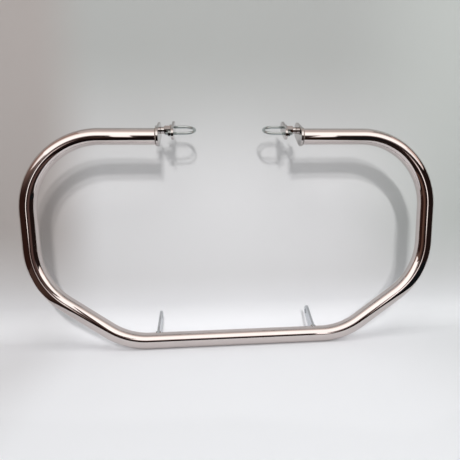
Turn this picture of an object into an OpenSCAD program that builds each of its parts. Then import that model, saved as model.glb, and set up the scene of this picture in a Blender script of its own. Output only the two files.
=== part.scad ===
// Motorcycle crash bars: a bent loop of tube that closes along the bottom and stays open at the top.
// Each top arm ends in a welded plate that carries a raked clamp with a U-bolt, and two tabs behind
// the bottom run take bolts. Millimetres. +X is to the right seen from the front, +Y points back
// towards the engine and +Z up. The origin is the middle of the axis through the two tab holes.

/* [Loop] */
// Outside diameter of the bent tube
tube_od = 32; // [26:0.5:38]
// Wall of the bent tube
tube_wall = 2.5; // [1.5:0.1:4]
// Radius of every bend, to the tube's axis
bend_r = 140; // [90:1:165]
// Height of the loop, from the bottom run's axis to the arms' axis
loop_h = 408; // [360:1:480]
// Half the width between the two bottom corners, before bending
bottom_half = 222; // [170:1:250]
// Half the width between the two low side corners, before bending
shoulder_half = 395; // [360:1:440]
// Height of the low side corners above the bottom run
shoulder_rise = 122; // [90:1:150]
// Half the width between the two upper corners, before bending
top_half = 405; // [380:1:450]
// Half the gap between the tube's two ends
gap_half = 144; // [125:1:175]
// How far the middle of that gap lies to the right of the loop's middle
gap_shift = -8; // [-15:1:15]

/* [Rake] */
// Lean of the motorcycle's frame tubes, which turns the end plates, clamps and tabs up at the back
rake = 28; // [10:1:40]

/* [End plates] */
// Thickness of the plate welded to each tube end
end_plate_t = 4.5; // [3:0.1:6]
// Ledge of the plate all round the tube
end_plate_ledge = 3; // [2.6:0.1:6]
// Radius of the plate's round end, where the clamp bolts on
end_plate_tip_r = 16; // [13:0.5:20]
// Distance from the tube's axis to the clamp bolt's axis
clamp_offset = 38; // [36:0.5:55]
// Leg of every fillet weld
weld_leg = 2.4; // [1.5:0.1:2.5]

/* [Clamp bolts] */
// Diameter of the bolt that holds each clamp to its end plate
clamp_bolt_d = 10; // [8:0.5:10.5]
// Width across the flats of that bolt's head and of the long nut
clamp_hex = 17; // [16:0.5:19]
// Height of the bolt's head
clamp_head_h = 6.4; // [5:0.1:8]
// Depth to which the bolt is screwed into the long nut
clamp_engage = 11; // [7:0.5:12]
// Outside diameter of the spacer between the end plate and the long nut
spacer_od = 14; // [13:0.5:16]
// Length of the spacer
spacer_len = 7.5; // [4:0.5:14]
// Length of the long nut that is welded to the saddle plate
clamp_nut_len = 15; // [12.5:0.5:22]

/* [Saddle plates and U-bolts] */
// Thickness of the saddle plate
saddle_t = 5; // [3:0.1:7]
// Width of the saddle plate
saddle_w = 24; // [23:0.5:32]
// Diameter of the U-bolt's wire
u_wire_d = 6; // [5:0.5:7]
// Clear width between the U-bolt's legs
u_clear = 34; // [31:0.5:42]
// Reach of the bow's outside beyond the saddle plate
u_reach = 44; // [40:0.5:60]
// Length of each leg that stands out past its nut
u_leg_past = 5; // [2:0.5:8]
// Width across the flats of the U-bolt's nuts
u_nut_hex = 10; // [9.5:0.5:11]
// Height of the U-bolt's nuts
u_nut_h = 5; // [4:0.1:6.5]
// Diameter of the washers under those nuts
u_washer_od = 12; // [11.5:0.5:12.5]
// Thickness of those washers
u_washer_t = 1.4; // [1:0.1:2]

/* [Tabs] */
// Distance from the middle of the loop to the inner face of each tab
tab_half = 158.5; // [120:0.5:165]
// Thickness of each tab
tab_t = 5; // [3:0.1:7]
// Distance from the bottom run's axis to the hole
tab_reach = 66; // [50:1:85]
// Width of the tab where it meets the tube
tab_root_w = 30; // [26:0.5:31]
// Radius of the tab's round tip
tab_tip_r = 12.5; // [10:0.5:13]
// Diameter of the hole in each tab
tab_hole_d = 10.5; // [8:0.1:12]

/* [Fits] */
// Added to a bolt's diameter where it passes through a drilled hole
bolt_clear = 0.6; // [0.3:0.1:0.8]
// Added to a thread's diameter inside its nut
thread_clear = 0.2; // [0.1:0.05:0.4]
// Width of the chamfer on turned ends and hexagon corners
edge_chamfer = 0.8; // [0.3:0.1:1]

/* [Hidden] */

CHROME = "#d6d5d3";
ZINC = "#a9b3b0";
PLAIN_STEEL = "#8f979b";
WELD = "#7d7b78";

LEFT = -1;
RIGHT = 1;
$fn = 64;
// Steps in a full turn of a bend
BEND_STEPS = 180;
// Hairline between a straight and the bend beside it, so that their surfaces never lie in each other
SEAM_GAP = 0.02;
// How far the tongue inside the wall, which joins the two, runs on into the bend
SEAM_TONGUE = 2;
// Share of the wall's thickness that covers the tongue on each side
TONGUE_COVER = 0.25;
// How far the straight side of a rounded outline cuts into the discs that it joins
OUTLINE_SINK = 0.02;
// How far a cutter runs past the face that it opens
PAST = 1;

function along(angle) = [cos(angle), sin(angle)];

tube_r = tube_od / 2;
bore_r = tube_r - tube_wall;
// The bottom run's axis, measured from the axis of the tab holes
loop_y = -tab_reach * cos(rake);
loop_z = -tab_reach * sin(rake);

// Places along X in the clamp's own frame, which starts at the middle of the gap and runs outwards
plate_in_x = gap_half - end_plate_t;
spacer_in_x = plate_in_x - spacer_len;
saddle_out_x = spacer_in_x - clamp_nut_len;
saddle_in_x = saddle_out_x - saddle_t;
u_bow_r = (u_clear + u_wire_d) / 2;
u_bow_x = saddle_in_x - u_reach + u_wire_d / 2 + u_bow_r;
u_washer_x = saddle_out_x;
u_nut_x = u_washer_x + u_washer_t;
u_leg_end_x = u_nut_x + u_nut_h + u_leg_past;

// The corners that the bends round off on one side, seen from the front as [across, up], from the
// middle of the bottom run up to the arm
CORNERS = [
    [0, 0],
    [bottom_half, 0],
    [shoulder_half, shoulder_rise],
    [top_half, loop_h],
];
LAST = len(CORNERS) - 1;

// Direction of the straight that leaves corner i: the arm points back to the middle
function heading(i) =
    i == LAST ? 180 : atan2(CORNERS[i + 1][1] - CORNERS[i][1], CORNERS[i + 1][0] - CORNERS[i][0]);
// Angle that the tube turns through at corner i, always to the left
function turn(i) = heading(i) - heading(i - 1);
// Length that the bend at corner i takes from each straight beside it
function tangent(i) = i == 0 ? 0 : bend_r * tan(turn(i) / 2);
function straight_len(i, arm_end) =
    i == LAST
        ? top_half - arm_end - tangent(i)
        : norm(CORNERS[i + 1] - CORNERS[i]) - tangent(i) - tangent(i + 1);

// The tube's wall in section, or with an inset only its middle
module tube_section(inset = 0) {
    difference() {
        circle(r = tube_r - inset);
        circle(r = bore_r + inset);
    }
}

module tube_along_x(x0, x1, inset = 0) {
    translate([x0, 0, 0])
        rotate([90, 0, 90])
            linear_extrude(height = x1 - x0)
                tube_section(inset);
}

// A straight from x0 to x1, where a bend may follow
module straight(x0, x1, bend_follows) {
    tongue_x1 = bend_follows ? x1 + SEAM_TONGUE : x1 - SEAM_TONGUE;
    tube_along_x(x0 + SEAM_GAP, bend_follows ? x1 - SEAM_GAP : x1);
    tube_along_x(x0 - SEAM_TONGUE, tongue_x1, TONGUE_COVER * tube_wall);
}

// The tube from the start of bend i to the arm's end: the bend, and in its far frame the straight
// after it and all that follows
module run_from(i, arm_end) {
    length = straight_len(i, arm_end);
    translate([0, bend_r, 0]) {
        rotate([0, 0, -90])
            rotate_extrude(angle = turn(i), $fn = BEND_STEPS)
                translate([bend_r, 0])
                    tube_section();
        rotate([0, 0, turn(i)])
            translate([0, -bend_r, 0]) {
                straight(0, length, i < LAST);
                if (i < LAST)
                    translate([length, 0, 0])
                        run_from(i + 1, arm_end);
            }
    }
}

// A frame at height z on the tube's axis, with its own Y turned up by the rake
module raked(z = 0) {
    translate([0, loop_y, loop_z + z])
        rotate([rake, 0, 0])
            children();
}

// The clamp's frame on one side: X runs outwards from the middle of the gap
module at_arm(side) {
    translate([gap_shift, 0, 0])
        mirror([side < 0 ? 1 : 0, 0, 0])
            raked(loop_h)
                children();
}

// The same for what is centred on the clamp bolt
module at_clamp(side) {
    at_arm(side)
        translate([0, clamp_offset, 0])
            children();
}

// The tab's frame on one side, centred on the bottom run
module at_tab(side) {
    mirror([side < 0 ? 1 : 0, 0, 0])
        raked()
            children();
}

// Stands a shape drawn on XY on its edge, so that its thickness runs along X from x
module on_edge(x) {
    translate([x, 0, 0])
        rotate([90, 0, 90])
            children();
}

// Lays a turned shape along X from x
module turned(x) {
    translate([x, 0, 0])
        rotate([0, 90, 0])
            children();
}

// Outline of two discs joined by straight sides that all but touch both
module tapered_outline(r0, r1, length) {
    lean = asin((r0 - r1) / length);
    side0 = r0 - OUTLINE_SINK;
    side1 = r1 - OUTLINE_SINK;
    circle(r = r0);
    translate([length, 0]) circle(r = r1);
    polygon([
        side0 * along(90 - lean),
        side0 * along(lean - 90),
        [length, 0] + side1 * along(lean - 90),
        [length, 0] + side1 * along(90 - lean),
    ]);
}

// Round bar with a chamfer at its far end
module chamfered_bar(length, r) {
    cylinder(h = length - edge_chamfer, r = r);
    translate([0, 0, length - edge_chamfer])
        cylinder(h = edge_chamfer, r1 = r, r2 = r - edge_chamfer);
}

// Hexagon bar whose corners are turned down at the far end, and at the near end too if both is true
module hexagon(length, flats, both = true) {
    corner_r = flats / 2 / cos(30);
    cut = corner_r - flats / 2;
    intersection() {
        cylinder(h = length, r = corner_r, $fn = 6);
        rotate_extrude()
            polygon([
                [0, 0],
                [both ? flats / 2 : corner_r, 0],
                [corner_r, both ? cut * tan(30) : 0],
                [corner_r, length - cut * tan(30)],
                [flats / 2, length],
                [0, length],
            ]);
    }
}

// Rounded fillet weld on a bar of radius r, with one flat leg at z = 0 and the other on the bar
module fillet_ring(r, angle = 360) {
    rotate_extrude(angle = angle)
        translate([r, 0])
            intersection() {
                circle(r = weld_leg);
                square(weld_leg);
            }
}

// The bottom run, and one half of the rest on each side, with an arm of its own length
module guard_tube() {
    half_run = straight_len(0, 0);
    color(CHROME)
        translate([0, loop_y, loop_z])
            rotate([90, 0, 0]) {
                straight(-half_run, half_run, true);
                translate([half_run, 0, 0])
                    run_from(1, gap_half + gap_shift);
                mirror([1, 0, 0])
                    translate([half_run, 0, 0])
                        run_from(1, gap_half - gap_shift);
            }
}

module end_plate(side) {
    color(CHROME)
        at_arm(side)
            on_edge(plate_in_x)
                linear_extrude(height = end_plate_t)
                    difference() {
                        tapered_outline(tube_r + end_plate_ledge, end_plate_tip_r, clamp_offset);
                        translate([clamp_offset, 0]) circle(d = clamp_bolt_d + bolt_clear);
                    }
}

module end_weld(side) {
    color(WELD)
        at_arm(side)
            turned(gap_half)
                fillet_ring(tube_r);
}

// Hexagon head outside the end plate, shank through the plate and the spacer into the long nut
module clamp_bolt(side) {
    color(ZINC)
        at_clamp(side) {
            turned(gap_half) hexagon(clamp_head_h, clamp_hex, both = false);
            translate([gap_half, 0, 0])
                rotate([0, -90, 0])
                    chamfered_bar(end_plate_t + spacer_len + clamp_engage, clamp_bolt_d / 2);
        }
}

module spacer(side) {
    color(CHROME)
        at_clamp(side)
            turned(spacer_in_x)
                difference() {
                    cylinder(h = spacer_len, d = spacer_od);
                    translate([0, 0, -PAST])
                        cylinder(h = spacer_len + 2 * PAST, d = clamp_bolt_d + bolt_clear);
                }
}

module clamp_nut(side) {
    color(CHROME)
        at_clamp(side)
            turned(saddle_out_x)
                difference() {
                    hexagon(clamp_nut_len, clamp_hex);
                    translate([0, 0, -PAST])
                        cylinder(h = clamp_nut_len + 2 * PAST, d = clamp_bolt_d + thread_clear);
                }
}

// Bead round the long nut's foot, inside the saddle plate's width
module nut_weld(side) {
    foot_r = saddle_w / 2 - edge_chamfer;
    color(WELD)
        at_clamp(side)
            turned(saddle_out_x)
                difference() {
                    cylinder(h = weld_leg, r1 = foot_r, r2 = foot_r - weld_leg);
                    translate([0, 0, -PAST])
                        cylinder(h = weld_leg + 2 * PAST, r = clamp_hex / 2 / cos(30), $fn = 6);
                }
}

module saddle_plate(side) {
    color(CHROME)
        at_clamp(side)
            on_edge(saddle_in_x)
                linear_extrude(height = saddle_t)
                    difference() {
                        translate([-u_bow_r, 0])
                            tapered_outline(saddle_w / 2, saddle_w / 2, 2 * u_bow_r);
                        for (s = [-1, 1])
                            translate([s * u_bow_r, 0]) circle(d = u_wire_d + bolt_clear);
                    }
}

// One bent wire: the bow lies towards the middle and both legs pass out through the saddle plate
module u_bolt(side) {
    color(ZINC)
        at_clamp(side)
            translate([u_bow_x, 0, 0]) {
                rotate([0, 0, 90])
                    rotate_extrude(angle = 180)
                        translate([u_bow_r, 0]) circle(d = u_wire_d);
                for (s = [-1, 1])
                    translate([0, s * u_bow_r, 0])
                        rotate([0, 90, 0])
                            chamfered_bar(u_leg_end_x - u_bow_x, u_wire_d / 2);
            }
}

module on_u_legs(side, x) {
    at_clamp(side)
        for (s = [-1, 1])
            translate([0, s * u_bow_r, 0])
                turned(x)
                    children();
}

module u_bolt_washers(side) {
    color(ZINC)
        on_u_legs(side, u_washer_x)
            difference() {
                cylinder(h = u_washer_t, d = u_washer_od);
                translate([0, 0, -PAST])
                    cylinder(h = u_washer_t + 2 * PAST, d = u_wire_d + bolt_clear);
            }
}

module u_bolt_nuts(side) {
    color(ZINC)
        on_u_legs(side, u_nut_x)
            difference() {
                hexagon(u_nut_h, u_nut_hex);
                translate([0, 0, -PAST])
                    cylinder(h = u_nut_h + 2 * PAST, d = u_wire_d + thread_clear);
            }
}

// Flat bar that is notched to sit on the back of the bottom run
module tab(side) {
    color(PLAIN_STEEL)
        at_tab(side)
            on_edge(tab_half)
                linear_extrude(height = tab_t)
                    difference() {
                        tapered_outline(tab_root_w / 2, tab_tip_r, tab_reach);
                        circle(r = tube_r);
                        translate([tab_reach, 0]) circle(d = tab_hole_d);
                    }
}

// Beads along both faces of the tab, where it sits on the tube
module tab_welds(side) {
    spread = 2 * asin(tab_root_w / tube_od) - 2 * weld_leg;
    color(WELD)
        at_tab(side) {
            turned(tab_half + tab_t)
                rotate([0, 0, 90 - spread / 2])
                    fillet_ring(tube_r, spread);
            mirror([1, 0, 0])
                turned(-tab_half)
                    rotate([0, 0, 90 - spread / 2])
                        fillet_ring(tube_r, spread);
        }
}

guard_tube();
end_plate(LEFT);  // left_end_plate
end_plate(RIGHT);  // right_end_plate
end_weld(LEFT);  // left_end_weld
end_weld(RIGHT);  // right_end_weld
clamp_bolt(LEFT);  // left_clamp_bolt
clamp_bolt(RIGHT);  // right_clamp_bolt
spacer(LEFT);  // left_spacer
spacer(RIGHT);  // right_spacer
clamp_nut(LEFT);  // left_clamp_nut
clamp_nut(RIGHT);  // right_clamp_nut
nut_weld(LEFT);  // left_nut_weld
nut_weld(RIGHT);  // right_nut_weld
saddle_plate(LEFT);  // left_saddle_plate
saddle_plate(RIGHT);  // right_saddle_plate
u_bolt(LEFT);  // left_u_bolt
u_bolt(RIGHT);  // right_u_bolt
u_bolt_washers(LEFT);  // left_u_bolt_washers
u_bolt_washers(RIGHT);  // right_u_bolt_washers
u_bolt_nuts(LEFT);  // left_u_bolt_nuts
u_bolt_nuts(RIGHT);  // right_u_bolt_nuts
tab(LEFT);  // left_tab
tab(RIGHT);  // right_tab
tab_welds(LEFT);  // left_tab_welds
tab_welds(RIGHT);  // right_tab_welds
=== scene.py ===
"""Motorcycle crash bars in polished chrome, standing on a sheet of paper in front of a wall."""

import math

import bmesh
import bpy
from mathutils import Matrix, Vector


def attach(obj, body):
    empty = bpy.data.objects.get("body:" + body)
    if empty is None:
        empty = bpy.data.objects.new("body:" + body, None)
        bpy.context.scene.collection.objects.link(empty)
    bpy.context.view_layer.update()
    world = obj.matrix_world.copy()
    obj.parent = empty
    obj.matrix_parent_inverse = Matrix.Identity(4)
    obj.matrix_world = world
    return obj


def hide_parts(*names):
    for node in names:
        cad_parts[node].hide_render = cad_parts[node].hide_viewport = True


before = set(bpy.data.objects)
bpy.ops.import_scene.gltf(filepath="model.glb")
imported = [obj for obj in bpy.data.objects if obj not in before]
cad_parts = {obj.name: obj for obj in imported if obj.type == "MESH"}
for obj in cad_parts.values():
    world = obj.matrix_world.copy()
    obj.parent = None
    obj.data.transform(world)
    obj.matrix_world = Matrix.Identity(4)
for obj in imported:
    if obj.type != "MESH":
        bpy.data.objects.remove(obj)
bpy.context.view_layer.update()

# Sizes in millimetres, as in the part's source. The loop's own frame has X to the right, Y away
# from the camera and Z up, and starts in the middle of the bottom run's axis.
TUBE_R = 16.0
BEND_R = 140.0
# Corners of the right side's axis, before they are bent, from the bottom run up
CORNERS = [(222, 0), (395, 122), (405, 408)]
GAP_HALF = 144.0
GAP_SHIFT = -8.0
RAKE = math.radians(28)
TAB_REACH = 66.0
LOOP_Y = -TAB_REACH * math.cos(RAKE)
LOOP_Z = -TAB_REACH * math.sin(RAKE)
LOOP_H = 408.0

END_PLATE_T = 4.5
CLAMP_OFFSET = 38.0
WELD_LEG = 2.4
# How long a weld's ripples are, and how deep as a share of the bead
WELD_RIPPLE = 2.6
RIPPLE_DEPTH = 0.2
# The height a bead starts and stops with, as a share of the bead, and how steeply it grows from there
BEAD_END = 0.35
BEAD_END_RISE = 6
NUT_WELD_R = 8.6
NUT_WELD_LEG = 2.6
SPACER_LEN = 7.5
CLAMP_NUT_LEN = 15.0
SADDLE_T = 5.0
WIRE_R = 3.0
U_BOW_R = 20.0
U_REACH = 44.0
U_WASHER_T = 1.4
U_NUT_H = 5.0
U_LEG_PAST = 5.0
# The wire's thread is M6, and starts this far in front of the saddle plate
THREAD_PITCH = 1.0
THREAD_DEPTH = 0.61
THREAD_CHAMFER = 0.8
THREAD_IN_FRONT = 6.0
TAB_HALF = 158.5
TAB_T = 5.0
TAB_ROOT_W = 30.0
# What the beads on a tab leave free of its notch, as a turn about the tube
TAB_WELD_SHORT = math.radians(4.8)

SADDLE_OUT_X = GAP_HALF - END_PLATE_T - SPACER_LEN - CLAMP_NUT_LEN
SADDLE_IN_X = SADDLE_OUT_X - SADDLE_T
U_BOW_X = SADDLE_IN_X - U_REACH + WIRE_R + U_BOW_R
U_LEG_END_X = SADDLE_OUT_X + U_WASHER_T + U_NUT_H + U_LEG_PAST

MM = 0.001
# Points of a mesh that are closer than this are one point: the second for threads and CAD meshes,
# whose points are rounded more, and the last where a thread is cut off
MERGE = 0.0005
MERGE_ROUNDED = 0.002
MERGE_CUT = 0.00001
SIDES = {"left": -1, "right": 1}

# How finely round shapes are drawn: sides round the tube, round the wire and on each turn of thread
TUBE_SIDES = 96
WIRE_SIDES = 40
THREAD_SIDES = 28
# Steps in the U-bolt's legs up to the thread, in its bow and in the paper's cove
LEG_STEPS = 3
BOW_STEPS = 60
COVE_STEPS = 24
# Steps along each ripple of a weld and round its face
RIPPLE_STEPS = 8
FACE_STEPS = 6
# The longest faces along the tube's straights, in millimetres
STRAIGHT_STEP = 30


# Materials

def linear(hex_colour):
    """An sRGB hex colour as Blender's linear RGBA."""
    parts = [int(hex_colour[i:i + 2], 16) / 255 for i in (1, 3, 5)]
    return [c / 12.92 if c <= 0.04045 else ((c + 0.055) / 1.055) ** 2.4 for c in parts] + [1.0]


# A Mix node mixes colours in this mode: they go into its sockets 6 and 7 and come out of its output 2
OF_COLOURS = {"data_type": "RGBA"}
MIXED = 2
SMOOTHLY = {"interpolation_type": "SMOOTHSTEP"}


def add_node(tree, kind, settings=None, **inputs):
    """Adds a node, sets its properties and its sockets, and links each socket given another node's
    output. A socket is named, or numbered as i0, i1 and on."""
    node = tree.nodes.new(kind)
    for key, value in (settings or {}).items():
        setattr(node, key, value)
    for key, value in inputs.items():
        number = key[1:] if key[0] == "i" else ""
        socket = node.inputs[int(number) if number.isdigit() else key.replace("_", " ")]
        if isinstance(value, bpy.types.NodeSocket):
            tree.links.new(value, socket)
        else:
            socket.default_value = value
    return node


def new_material(name):
    """An empty node material and its tree."""
    material = bpy.data.materials.new(name)
    material.use_nodes = True
    tree = material.node_tree
    tree.nodes.clear()
    return material, tree


def metal(name, dark, light, rough, patch_mm, grain_mm, grain_depth_mm, stretch=(1, 1, 1),
          wave_mm=None, wave_depth_mm=0.0):
    """A bare or plated metal: colour in patches, roughness in a range, and grain as bump."""
    material, tree = new_material(name)
    place = add_node(tree, "ShaderNodeTexCoord").outputs["Object"]
    along = add_node(tree, "ShaderNodeMapping", Vector=place, Scale=stretch).outputs[0]
    patches = add_node(tree, "ShaderNodeTexNoise", Vector=place, Scale=1 / (patch_mm * MM), Detail=2.0)
    colour = add_node(tree, "ShaderNodeMix", OF_COLOURS, Factor=patches.outputs["Fac"], i6=linear(dark),
                      i7=linear(light))
    grain = add_node(tree, "ShaderNodeTexNoise", Vector=along, Scale=1 / (grain_mm * MM), Detail=3.0)
    roughness = add_node(tree, "ShaderNodeMapRange", Value=grain.outputs["Fac"], To_Min=rough[0],
                         To_Max=rough[1])
    bump = add_node(tree, "ShaderNodeBump", Strength=1.0, Distance=grain_depth_mm * MM,
                    Height=grain.outputs["Fac"])
    if wave_mm:
        waves = add_node(tree, "ShaderNodeTexNoise", Vector=place, Scale=1 / (wave_mm * MM), Detail=0.0)
        bump = add_node(tree, "ShaderNodeBump", Strength=1.0, Distance=wave_depth_mm * MM,
                        Height=waves.outputs["Fac"], Normal=bump.outputs[0])
    shader = add_node(tree, "ShaderNodeBsdfPrincipled", Base_Color=colour.outputs[MIXED], Metallic=1.0,
                      Roughness=roughness.outputs[0], Normal=bump.outputs[0])
    add_node(tree, "ShaderNodeOutputMaterial", Surface=shader.outputs[0])
    return material


# The real marks of polishing, plating and linishing are too fine to show from where the camera
# stands, so every grain below is drawn coarser than it is

# Decorative chrome over polished nickel on a drawn steel tube: a mirror with a faint warm cast
# and the slight waves that the polishing wheel leaves
CHROME_TUBE = metal("Polished chrome on drawn tube", "#cbc2bf", "#d3cac7", rough=(0.03, 0.07),
                    patch_mm=60, grain_mm=0.9, grain_depth_mm=0.0006, wave_mm=45, wave_depth_mm=0.02)

# The same plating on small cut plates and nuts, whose polish is not so deep, so it is softer. Its
# greyer colour is painted shade, for the shadowed wall that these parts reflect
CHROME_FITTINGS = metal("Chrome on cut plate", "#b3aeac", "#c8c3c0", rough=(0.04, 0.1), patch_mm=12,
                        grain_mm=0.6, grain_depth_mm=0.0012)

# Bright zinc plate on wire and fasteners: bluish grey, not quite a mirror and a little cloudy
ZINC = metal("Bright zinc plate", "#a9b2b3", "#ccd2cf", rough=(0.12, 0.22), patch_mm=5, grain_mm=0.35,
             grain_depth_mm=0.0025)

# Hot-rolled steel bar, linished along its length and left plain: satin grey, with streaks along its
# narrow sides
PLAIN_STEEL = metal("Linished steel bar", "#b0b4b8", "#d0d3d6", rough=(0.26, 0.42), patch_mm=14,
                    grain_mm=0.5, grain_depth_mm=0.004, stretch=(8, 1, 1))

# Weld bead under the plating, which fills its pores but leaves it duller than the tube
WELD = metal("Plated weld bead", "#a39b93", "#cdc6bf", rough=(0.16, 0.3), patch_mm=3, grain_mm=0.4,
             grain_depth_mm=0.006)


# Pieces

def at_loop():
    """The loop's own frame."""
    return Matrix.Translation((0, LOOP_Y, LOOP_Z))


def raked(z=0.0):
    """Turned back by the rake, at a height in the loop's frame."""
    return Matrix.Translation((0, LOOP_Y, LOOP_Z + z)) @ Matrix.Rotation(RAKE, 4, "X")


def at_arm(side):
    """On an arm's axis in the middle of the gap, with X out along the arm."""
    mirror = Matrix.Diagonal((side, 1, 1, 1))
    return Matrix.Translation((GAP_SHIFT, 0, 0)) @ mirror @ raked(LOOP_H)


def at_clamp(side):
    """On the axis of a clamp's bolt, which is behind the arm's."""
    return at_arm(side) @ Matrix.Translation((0, CLAMP_OFFSET, 0))


def at_tab(side):
    """On the tube's axis at a tab, with Y along the tab."""
    return Matrix.Diagonal((side, 1, 1, 1)) @ raked()


# Turns a shape made about Z so that it lies along X
LIE_ALONG_X = Matrix.Rotation(math.radians(90), 4, "Y")
# Edges sharper than this look sharp: on most pieces, on weld beads and on threads
CREASE = math.radians(35)
BEAD_CREASE = math.radians(60)
THREAD_CREASE = math.radians(28)
# In a CAD shape, faces within the first of these are one face, and edges from the second up are eased
FLAT = math.radians(1)
EASED_FROM = math.radians(30)


def finish_piece(bm, name, material, replaced, place, crease=CREASE):
    """Puts a mesh made in millimetres in its place, and makes it a piece that stands for the nodes."""
    bmesh.ops.remove_doubles(bm, verts=bm.verts[:], dist=MERGE)
    bmesh.ops.transform(bm, matrix=Matrix.Scale(MM, 4) @ place, verts=bm.verts[:])
    bmesh.ops.recalc_face_normals(bm, faces=bm.faces[:])
    piece_from(bm, name, material, replaced, crease)


def piece_from(bm, name, material, replaced, crease):
    """Makes a finished mesh a piece, smooth but for edges sharper than the crease."""
    mesh = bpy.data.meshes.new(name)
    bm.to_mesh(mesh)
    bm.free()
    mesh.materials.append(material)
    mesh.shade_smooth()
    mesh.set_sharp_from_angle(angle=crease)
    piece = bpy.data.objects.new(name, mesh)
    bpy.context.scene.collection.objects.link(piece)
    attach(piece, "root")
    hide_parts(*replaced)
    return piece


def eased_copy(node, name, material, ease_mm):
    """The CAD node's own shape with its sharp edges eased, as cutting and polishing leave them."""
    bm = bmesh.new()
    bm.from_mesh(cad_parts[node].data)
    bmesh.ops.remove_doubles(bm, verts=bm.verts[:], dist=MERGE_ROUNDED * MM)
    bmesh.ops.dissolve_limit(bm, angle_limit=FLAT, verts=bm.verts[:], edges=bm.edges[:])
    bmesh.ops.recalc_face_normals(bm, faces=bm.faces[:])
    piece = piece_from(bm, name, material, [node], CREASE)
    ease = piece.modifiers.new("Eased edges", "BEVEL")
    ease.width = ease_mm * MM
    ease.segments = 3
    ease.limit_method = "ANGLE"
    ease.angle_limit = EASED_FROM
    ease.harden_normals = True


def boundary(bm):
    """The edges of a mesh's open rims."""
    return [e for e in bm.edges if e.is_boundary]


def extend(bm, edges, step):
    """Pulls an open rim straight on and gives its new edges."""
    pulled = bmesh.ops.extrude_edge_only(bm, edges=edges)["geom"]
    bmesh.ops.translate(bm, verts=[g for g in pulled if isinstance(g, bmesh.types.BMVert)], vec=step)
    return [g for g in pulled if isinstance(g, bmesh.types.BMEdge)]


def bend(bm, edges, centre, axis, angle, steps):
    """Turns an open rim about an axis and gives its last edges."""
    verts = list(dict.fromkeys(v for e in edges for v in e.verts))
    result = bmesh.ops.spin(bm, geom=verts + edges, cent=centre, axis=axis, angle=angle, steps=steps,
                            dvec=(0, 0, 0), use_merge=False, use_duplicate=False,
                            use_normal_flip=False)
    return [g for g in result["geom_last"] if isinstance(g, bmesh.types.BMEdge)]


def loop_runs():
    """Each straight's length and the turn after it, from the left arm's end round to the right's."""
    points = [Vector((GAP_SHIFT - GAP_HALF, LOOP_H))]
    points += [Vector((-x, z)) for x, z in reversed(CORNERS)] + [Vector(c) for c in CORNERS]
    points += [Vector((GAP_SHIFT + GAP_HALF, LOOP_H))]
    legs = [b - a for a, b in zip(points, points[1:])]
    turns = [-a.angle_signed(b) for a, b in zip(legs, legs[1:])] + [0.0]
    cut = [BEND_R * math.tan(turn / 2) for turn in turns]
    return [(leg.length - before - after, turn)
            for leg, before, after, turn in zip(legs, [0.0] + cut, cut, turns)]


def make_tube():
    """The tube's outside in one sweep, closed where the end plates cover it."""
    bm = bmesh.new()
    axis = Vector((0, -1, 0))
    heading = Vector((-1, 0, 0))
    spot = Vector((GAP_SHIFT - GAP_HALF, 0, LOOP_H))
    bmesh.ops.create_circle(bm, radius=TUBE_R, segments=TUBE_SIDES,
                            matrix=Matrix.Translation(spot) @ LIE_ALONG_X)
    edges = bm.edges[:]
    for length, turn in loop_runs():
        steps = max(1, round(length / STRAIGHT_STEP))
        for _ in range(steps):
            edges = extend(bm, edges, heading * (length / steps))
        spot += heading * length
        if turn:
            inward = Vector((-heading.z, 0, heading.x))
            centre = spot + inward * BEND_R
            # One step for each degree
            edges = bend(bm, edges, centre, axis, turn, round(math.degrees(turn)))
            rotation = Matrix.Rotation(turn, 3, axis)
            spot = centre + rotation @ (spot - centre)
            heading = rotation @ heading
    bmesh.ops.remove_doubles(bm, verts=bm.verts[:], dist=MERGE)
    bmesh.ops.holes_fill(bm, edges=boundary(bm), sides=0)
    finish_piece(bm, "Bent_tube", CHROME_TUBE, ["guard_tube"], at_loop())


def rippled_bead(bm, r, angle, leg=WELD_LEG):
    """A fillet bead about Z on a bar of radius r, with one leg at z = 0 and a ripple for each weld drop.
    Its ends taper where it doesn't go all the way round."""
    corner = bm.verts.new((r, 0, 0))
    arc = [bm.verts.new((r + leg * math.cos(a), 0, leg * math.sin(a)))
           for a in (math.pi / 2 * i / FACE_STEPS for i in range(FACE_STEPS + 1))]
    ring = [corner] + arc
    edges = [bm.edges.new((a, b)) for a, b in zip(ring, ring[1:] + ring[:1])]
    full = angle == 2 * math.pi
    count = round(r * angle / WELD_RIPPLE)
    bmesh.ops.spin(bm, geom=ring + edges, cent=(0, 0, 0), axis=(0, 0, 1), angle=angle,
                   steps=count * RIPPLE_STEPS, dvec=(0, 0, 0), use_merge=full, use_duplicate=False,
                   use_normal_flip=False)
    if not full:
        bmesh.ops.holes_fill(bm, edges=boundary(bm), sides=0)
    for v in bm.verts:
        out = math.hypot(v.co.x, v.co.y)
        along = math.atan2(v.co.y, v.co.x) % (2 * math.pi) / angle
        # Raising the wave to 0.6 rounds the ripples' tops and sharpens the dips between them
        swell = 1 - RIPPLE_DEPTH + RIPPLE_DEPTH * math.sin(math.pi * (along * count % 1.0)) ** 0.6
        if not full:
            swell *= min(1.0, BEAD_END + BEAD_END_RISE * min(along, 1 - along))
        scale = (r + (out - r) * swell) / out
        v.co = (v.co.x * scale, v.co.y * scale, v.co.z * swell)


def join(bm, part, name):
    """Adds a finished mesh to another."""
    mesh = bpy.data.meshes.new(name)
    part.to_mesh(mesh)
    part.free()
    bm.from_mesh(mesh)
    bpy.data.meshes.remove(mesh)


def make_ring_weld(name, node, r, place, leg=WELD_LEG):
    """A bead all the way round a bar along X."""
    bm = bmesh.new()
    rippled_bead(bm, r, 2 * math.pi, leg)
    finish_piece(bm, name, WELD, [node], place @ LIE_ALONG_X, BEAD_CREASE)


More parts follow.
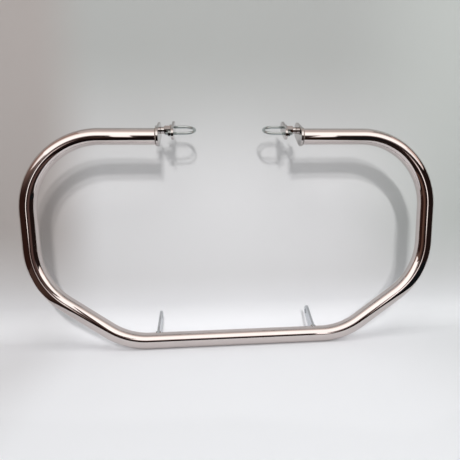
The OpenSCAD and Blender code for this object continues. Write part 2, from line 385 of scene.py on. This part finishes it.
def make_tab_welds(word, side):
    """A bead along each face of the tab, where its notch sits on the tube."""
    spread = 2 * math.asin(TAB_ROOT_W / 2 / TUBE_R) - TAB_WELD_SHORT
    bm = bmesh.new()
    for face_x, flip in ((TAB_HALF + TAB_T, 1), (TAB_HALF, -1)):
        part = bmesh.new()
        rippled_bead(part, TUBE_R, spread)
        turn = (Matrix.Translation((face_x, 0, 0)) @ Matrix.Diagonal((flip, 1, 1, 1)) @ LIE_ALONG_X
                @ Matrix.Rotation(math.radians(90) - spread / 2, 4, "Z"))
        bmesh.ops.transform(part, matrix=turn, verts=part.verts[:])
        join(bm, part, "bead")
    finish_piece(bm, f"Tab_welds_{word}", WELD, [f"{word}_tab_welds"], at_tab(side),
                 BEAD_CREASE)


def thread_along_x(bm, x0, x1, y):
    """A thread of full depth on wire along X from x0 to x1, with its far end chamfered."""
    part = bmesh.new()
    root = WIRE_R - THREAD_DEPTH * THREAD_PITCH
    # One turn's outline, along the wire in shares of the pitch. The thread starts a turn and a half
    # before x0 and runs on past x1, and both ends are cut off
    flanks = [(0.0, root), (0.125, root), (0.4375, WIRE_R), (0.5625, WIRE_R), (0.875, root), (1.0, root)]
    line = [part.verts.new((x0 + (at - 1.5) * THREAD_PITCH, 0, height)) for at, height in flanks]
    edges = [part.edges.new(pair) for pair in zip(line, line[1:])]
    turns = math.ceil((x1 - x0) / THREAD_PITCH) + 3
    bmesh.ops.spin(part, geom=line + edges, cent=(0, 0, 0), axis=(1, 0, 0),
                   angle=2 * math.pi * turns, steps=THREAD_SIDES * turns,
                   dvec=(THREAD_PITCH / THREAD_SIDES, 0, 0), use_merge=False, use_duplicate=False,
                   use_normal_flip=False)
    bmesh.ops.remove_doubles(part, verts=part.verts[:], dist=MERGE_ROUNDED)
    for x, way in ((x0, -1), (x1, 1)):
        bmesh.ops.bisect_plane(part, geom=part.verts[:] + part.edges[:] + part.faces[:],
                               dist=MERGE_CUT, plane_co=(x, 0, 0), plane_no=(way, 0, 0),
                               clear_outer=True)
    bmesh.ops.holes_fill(part, edges=boundary(part), sides=0)
    for v in part.verts:
        out = math.hypot(v.co.y, v.co.z)
        limit = WIRE_R - max(0.0, v.co.x - (x1 - THREAD_CHAMFER))
        if out > limit:
            v.co.y *= limit / out
            v.co.z *= limit / out
    bmesh.ops.translate(part, verts=part.verts[:], vec=(0, y, 0))
    join(bm, part, "thread")


def make_u_bolt(word, side):
    """Bent wire with both legs threaded from in front of the saddle plate to their ends."""
    bm = bmesh.new()
    thread_from = SADDLE_IN_X - THREAD_IN_FRONT
    bmesh.ops.create_circle(bm, radius=WIRE_R, segments=WIRE_SIDES,
                            matrix=Matrix.Translation((thread_from, U_BOW_R, 0)) @ LIE_ALONG_X)
    edges = bm.edges[:]
    leg = thread_from - U_BOW_X
    for _ in range(LEG_STEPS):
        edges = extend(bm, edges, (-leg / LEG_STEPS, 0, 0))
    edges = bend(bm, edges, (U_BOW_X, 0, 0), (0, 0, 1), math.pi, BOW_STEPS)
    for _ in range(LEG_STEPS):
        edges = extend(bm, edges, (leg / LEG_STEPS, 0, 0))
    bmesh.ops.remove_doubles(bm, verts=bm.verts[:], dist=MERGE)
    bmesh.ops.holes_fill(bm, edges=boundary(bm), sides=0)
    for y in (-U_BOW_R, U_BOW_R):
        thread_along_x(bm, thread_from, U_LEG_END_X, y)
    finish_piece(bm, f"U_bolt_{word}", ZINC, [f"{word}_u_bolt"], at_clamp(side),
                 THREAD_CREASE)


make_tube()
# The last number of each eased copy is how wide its edges are eased, in millimetres
for word, side in SIDES.items():
    eased_copy(f"{word}_end_plate", f"End_plate_{word}", CHROME_FITTINGS, 0.7)
    make_ring_weld(f"End_weld_{word}", f"{word}_end_weld", TUBE_R,
                   at_arm(side) @ Matrix.Translation((GAP_HALF, 0, 0)))
    eased_copy(f"{word}_clamp_bolt", f"Clamp_bolt_{word}", ZINC, 0.25)
    eased_copy(f"{word}_spacer", f"Spacer_{word}", CHROME_FITTINGS, 0.4)
    eased_copy(f"{word}_clamp_nut", f"Long_nut_{word}", CHROME_FITTINGS, 0.25)
    make_ring_weld(f"Nut_weld_{word}", f"{word}_nut_weld", NUT_WELD_R,
                   at_clamp(side) @ Matrix.Translation((SADDLE_OUT_X, 0, 0)), NUT_WELD_LEG)
    eased_copy(f"{word}_saddle_plate", f"Saddle_plate_{word}", CHROME_FITTINGS, 0.8)
    make_u_bolt(word, side)
    eased_copy(f"{word}_u_bolt_washers", f"Washers_{word}", ZINC, 0.2)
    eased_copy(f"{word}_u_bolt_nuts", f"U_bolt_nuts_{word}", ZINC, 0.15)
    eased_copy(f"{word}_tab", f"Tab_{word}", PLAIN_STEEL, 0.5)
    make_tab_welds(word, side)


# Stage

# The paper's wall stands this far behind the loop, with a round cove up from the floor
PAPER_Y = 110.0
COVE_R = 62.0
PAPER_HALF = 2600.0
WALL_H = 1500.0


def to_stage(bm, name, material):
    """Makes a mesh in millimetres, in the loop's frame, a thing that isn't part of the object."""
    bmesh.ops.transform(bm, matrix=Matrix.Scale(MM, 4) @ at_loop(), verts=bm.verts[:])
    mesh = bpy.data.meshes.new(name)
    bm.to_mesh(mesh)
    bm.free()
    mesh.materials.append(material)
    sheet = bpy.data.objects.new(name, mesh)
    bpy.context.scene.collection.objects.link(sheet)
    return sheet


def clear_from_behind(tree, shader):
    """A shader's output, or nothing where a sheet is seen from behind."""
    behind = add_node(tree, "ShaderNodeBsdfTransparent")
    side = add_node(tree, "ShaderNodeNewGeometry").outputs["Backfacing"]
    return add_node(tree, "ShaderNodeMixShader", Fac=side, i1=shader, i2=behind.outputs[0]).outputs[0]


def paper():
    """Matt white paper with painted shade: its colour dims to both sides and up its wall, where less
    light falls. It is clear from behind, so that a view from there shows the object."""
    material, tree = new_material("Matt white paper")
    place = add_node(tree, "ShaderNodeTexCoord").outputs["Object"]
    spot = add_node(tree, "ShaderNodeSeparateXYZ", Vector=place).outputs
    # To both sides the painted shade is a quarter as strong on the floor as on the wall
    wall = add_node(tree, "ShaderNodeMapRange", SMOOTHLY, Value=spot["Z"], From_Max=210 * MM,
                    To_Min=0.25, To_Max=1.0)
    # The paper's own even white, then painted shade over it: dimmer from the floor up into the wall,
    # dimmer towards the wall's top, and dimmer out to the left and the right
    colour = linear("#f2f2f5")
    for axis, low, high, painted_shade_colour in (("Z", -50, 90, "#d5d4d5"), ("Z", 230, 600, "#a5a6a4"),
                                    ("X", -280, -430, "#a39c99"), ("X", 200, 560, "#b6b9b6")):
        share = add_node(tree, "ShaderNodeMapRange", SMOOTHLY, Value=spot[axis], From_Min=low * MM,
                         From_Max=high * MM)
        if axis == "X":
            share = add_node(tree, "ShaderNodeMath", {"operation": "MULTIPLY"}, i0=share.outputs[0],
                             i1=wall.outputs[0])
        colour = add_node(tree, "ShaderNodeMix", OF_COLOURS, Factor=share.outputs[0], i6=colour,
                          i7=linear(painted_shade_colour)).outputs[MIXED]
    # The paper's tooth is finer than a pixel, so it is drawn 1.5 mm coarse
    grain = add_node(tree, "ShaderNodeTexNoise", Vector=place, Scale=1 / (1.5 * MM), Detail=3.0)
    bump = add_node(tree, "ShaderNodeBump", Strength=0.4, Distance=0.05 * MM,
                    Height=grain.outputs["Fac"])
    front = add_node(tree, "ShaderNodeBsdfPrincipled", Base_Color=colour, Roughness=0.7,
                     Normal=bump.outputs[0])
    add_node(tree, "ShaderNodeOutputMaterial", Surface=clear_from_behind(tree, front.outputs[0]))
    return material


def make_backdrop():
    """Floor and wall of one sheet of paper with a round cove between them."""
    bm = bmesh.new()
    front = bm.edges.new([bm.verts.new((x, -PAPER_HALF, -TUBE_R)) for x in (-PAPER_HALF, PAPER_HALF)])
    edges = extend(bm, [front], (0, PAPER_Y - COVE_R + PAPER_HALF, 0))
    edges = bend(bm, edges, (0, PAPER_Y - COVE_R, COVE_R - TUBE_R), (1, 0, 0), math.pi / 2,
                 COVE_STEPS)
    extend(bm, edges, (0, 0, WALL_H))
    bmesh.ops.remove_doubles(bm, verts=bm.verts[:], dist=MERGE)
    bm.normal_update()
    if sum(face.normal.z for face in bm.faces) < 0:
        bmesh.ops.reverse_faces(bm, faces=bm.faces[:])
    to_stage(bm, "Backdrop", paper()).data.shade_smooth()


def reflected_card(name, corners, colour, strength=1.0, fade=None, one_sided=False):
    """A glowing card that shows in the chrome alone. Its colour may fade to another between two places
    in millimetres along an axis of the scene."""
    material, tree = new_material(name.replace("_", " "))
    colour = linear(colour)
    if fade:
        other, axis, low, high = fade
        place = add_node(tree, "ShaderNodeTexCoord").outputs["Object"]
        spot = add_node(tree, "ShaderNodeSeparateXYZ", Vector=place).outputs
        share = add_node(tree, "ShaderNodeMapRange", SMOOTHLY, Value=spot[axis], From_Min=low * MM,
                         From_Max=high * MM)
        colour = add_node(tree, "ShaderNodeMix", OF_COLOURS, Factor=share.outputs[0], i6=colour,
                          i7=linear(other)).outputs[MIXED]
    shader = add_node(tree, "ShaderNodeEmission", Color=colour, Strength=strength).outputs[0]
    if one_sided:
        shader = clear_from_behind(tree, shader)
    add_node(tree, "ShaderNodeOutputMaterial", Surface=shader)
    bm = bmesh.new()
    bm.faces.new([bm.verts.new(corner) for corner in corners])
    card = to_stage(bm, name, material)
    card.visible_camera = False
    card.visible_diffuse = False
    card.visible_shadow = False
    card.visible_transmission = False


make_backdrop()

# What the chrome shows of the room, which is in front of the loop. Its cloth lies 2 mm above the paper
CLOTH_Z = 2 - TUBE_R
CLOTH_END_Y = -1300
ROOM_HALF = 900
ROOM_END_Y = -1270
ROOM_BACK_Y = 100
ROOM_H = 1500
# The white card overhead slopes down to the room's end
CARD_NEAR_Y = -200
CARD_TOP_Z = 760
CARD_LOW_Z = 560
# Each side's own white card hangs this far in front of it
CARD_OFF_SIDE = 5

# In the chrome the paper ends close around the object, on dark cloth: brown at the far left and almost
# black elsewhere
reflected_card("Dark_cloth_left",
               [(x, y, CLOTH_Z) for x, y in ((-2500, ROOM_BACK_Y), (-660, ROOM_BACK_Y), (-500, -20),
                                             (-455, -140), (-400, -215), (-400, CLOTH_END_Y),
                                             (-2500, CLOTH_END_Y))],
               "#1c1413", fade=("#4e3b34", "X", -420, -600))
reflected_card("Dark_cloth_middle",
               [(x, y, CLOTH_Z) for x, y in ((-400, -215), (-250, -250), (0, -265), (200, -320),
                                             (400, -240), (400, CLOTH_END_Y), (-400, CLOTH_END_Y))],
               "#1a1312", fade=("#2b201c", "X", -50, 300))
reflected_card("Dark_cloth_right",
               [(x, y, CLOTH_Z) for x, y in ((400, -240), (480, -150), (550, -20), (700, ROOM_BACK_Y),
                                             (1200, ROOM_BACK_Y), (1200, CLOTH_END_Y),
                                             (400, CLOTH_END_Y))],
               "#2b201c", fade=("#15191b", "X", 420, 560))

# Something brown in front of each side of the loop. It is clear from behind, so that the bottom run
# and the arms don't show it
reflected_card("Brown_left", [(-200, -250, CLOTH_Z), (-200, -750, CLOTH_Z), (-200, -750, 330),
                              (-200, -250, 330)],
               "#5f4b47", one_sided=True)
reflected_card("Brown_right", [(40, -280, 300), (40, -900, 300), (40, -900, CLOTH_Z),
                               (40, -280, CLOTH_Z)],
               "#73574b", fade=("#4a352e", "Y", -300, -800), one_sided=True)

# The far end of the room, dark below and grey above
reflected_card("Far_end", [(x, ROOM_END_Y, z) for x, z in ((-ROOM_HALF, CLOTH_Z), (ROOM_HALF, CLOTH_Z),
                                                           (ROOM_HALF, CARD_LOW_Z),
                                                           (-ROOM_HALF, CARD_LOW_Z))],
               "#2a1c1a", fade=("#c9bbb7", "Z", 210, 560))

# A strip of window near each side of the far end, clear from behind, so that it shows on that side of
# the loop alone. Their near edges are higher at the top, and the right one's leans
STRIP_NEAR_Z = CARD_LOW_Z + 50
STRIP_FADE = ("#fffaf8", "Z", 20, 180)
reflected_card("Window_strip_left", [(-395, -1006, 0), (-545, -1265, 0), (-545, -1265, CARD_LOW_Z),
                                     (-395, -1006, STRIP_NEAR_Z)],
               "#7d6c67", 1.75, STRIP_FADE, one_sided=True)
reflected_card("Window_strip_right", [(480, -1051, STRIP_NEAR_Z), (620, -1265, CARD_LOW_Z),
                                      (620, -1265, 60), (390, -913, 60)],
               "#7d6c67", 1.75, STRIP_FADE, one_sided=True)

# A white card overhead, from the far end to just in front of the object
reflected_card("White_card", [(-ROOM_HALF, ROOM_END_Y, CARD_LOW_Z), (ROOM_HALF, ROOM_END_Y, CARD_LOW_Z),
                              (ROOM_HALF, CARD_NEAR_Y, CARD_TOP_Z),
                              (-ROOM_HALF, CARD_NEAR_Y, CARD_TOP_Z)],
               "#cbbdb6", 1.75, ("#fffdfb", "Y", -240, -480))

# The sides of the room, each with a white card that hangs down from the one overhead
for word, x, dark, fade, rim in (
        ("left", -ROOM_HALF, "#35211c", ("#b39a90", "Z", 300, 760),
         [(-270, 540), (ROOM_END_Y, 620), (ROOM_END_Y, 780), (-270, 800)]),
        ("right", ROOM_HALF, "#241a18", ("#a8a29e", "Z", 640, 1200),
         [(-60, 640), (-200, 520), (-400, 480), (ROOM_END_Y, 560), (ROOM_END_Y, 780), (-60, 1050)])):
    reflected_card(f"Side_{word}", [(x, ROOM_BACK_Y, CLOTH_Z), (x, ROOM_END_Y, CLOTH_Z),
                                    (x, ROOM_END_Y, ROOM_H), (x, ROOM_BACK_Y, ROOM_H)], dark, fade=fade)
    reflected_card(f"White_side_{word}",
                   [(x - math.copysign(CARD_OFF_SIDE, x), y, z) for y, z in rim],
                   "#c8b0a6", 1.5, ("#fffdfb", "Y", -300, -560))


def area_light(name, spot, target, size, watts):
    """A rectangular lamp at a spot in metres, turned to a target, that doesn't show in the chrome."""
    light = bpy.data.lights.new(name, "AREA")
    light.shape = "RECTANGLE"
    light.size, light.size_y = size
    light.energy = watts
    lamp = bpy.data.objects.new(name, light)
    bpy.context.scene.collection.objects.link(lamp)
    lamp.location = spot
    lamp.rotation_mode = "QUATERNION"
    lamp.rotation_quaternion = (Vector(target) - Vector(spot)).to_track_quat("-Z", "Y")
    lamp.visible_glossy = False


# Two small lamps far in front draw the shadows on the wall, and a wide one above lights the floor
area_light("Key_high", (0.0, -3.2, 2.1), (0, 0, 0.2), (0.18, 0.18), 32)
area_light("Key_low", (0.2, -3.2, 1.76), (0, 0, 0.2), (0.18, 0.18), 30)
area_light("Overhead", (0.0, -0.9, 2.2), (0, -0.2, 0), (1.6, 1.2), 18)

# The world lights the paper weakly and evenly, and shows as a pale ceiling where it is seen
world = bpy.data.worlds.new("Room with a pale ceiling")
bpy.context.scene.world = world
world.use_nodes = True
tree = world.node_tree
tree.nodes.clear()
path = add_node(tree, "ShaderNodeLightPath").outputs
seen = add_node(tree, "ShaderNodeMath", {"operation": "ADD"}, i0=path["Is Camera Ray"],
                i1=path["Is Glossy Ray"])
seen = add_node(tree, "ShaderNodeMath", {"operation": "ADD", "use_clamp": True}, i0=seen.outputs[0],
                i1=path["Is Transmission Ray"])
light = add_node(tree, "ShaderNodeBackground", Color=linear("#eaf0f0"), Strength=0.33)
ceiling = add_node(tree, "ShaderNodeBackground", Color=linear("#d6cdc9"), Strength=1.0)
both = add_node(tree, "ShaderNodeMixShader", Fac=seen.outputs[0], i1=light.outputs[0],
                i2=ceiling.outputs[0])
add_node(tree, "ShaderNodeOutputWorld", Surface=both.outputs[0])

# Camera

# Where it stands and its own three directions, in the loop's frame
CAMERA_AT = Vector((-50.3, -764.7, 285.8))
RIGHT = Vector((0.9962, -0.0858, -0.0133))
FORWARD = Vector((0.0845, 0.9929, -0.0832))
UP = Vector((0.0203, 0.0818, 0.9964))
# The lens in pixels of a frame 460 wide, whose middle is 13 pixels left of the lens's axis
FRAME_PX = 460
LENS_PX = 380
AXIS_PX = 13
SENSOR_MM = 36.0

camera = bpy.data.objects.new("Camera", bpy.data.cameras.new("Camera"))
bpy.context.scene.collection.objects.link(camera)
bpy.context.scene.camera = camera
turn = Matrix((RIGHT, UP, -FORWARD)).transposed().to_4x4()
camera.matrix_world = Matrix.Translation((CAMERA_AT + Vector((0, LOOP_Y, LOOP_Z))) * MM) @ turn
camera.data.sensor_width = SENSOR_MM
camera.data.lens = SENSOR_MM * LENS_PX / FRAME_PX
camera.data.shift_x = -AXIS_PX / FRAME_PX
camera.data.clip_start = 0.05

bpy.context.scene.view_settings.view_transform = "Standard"
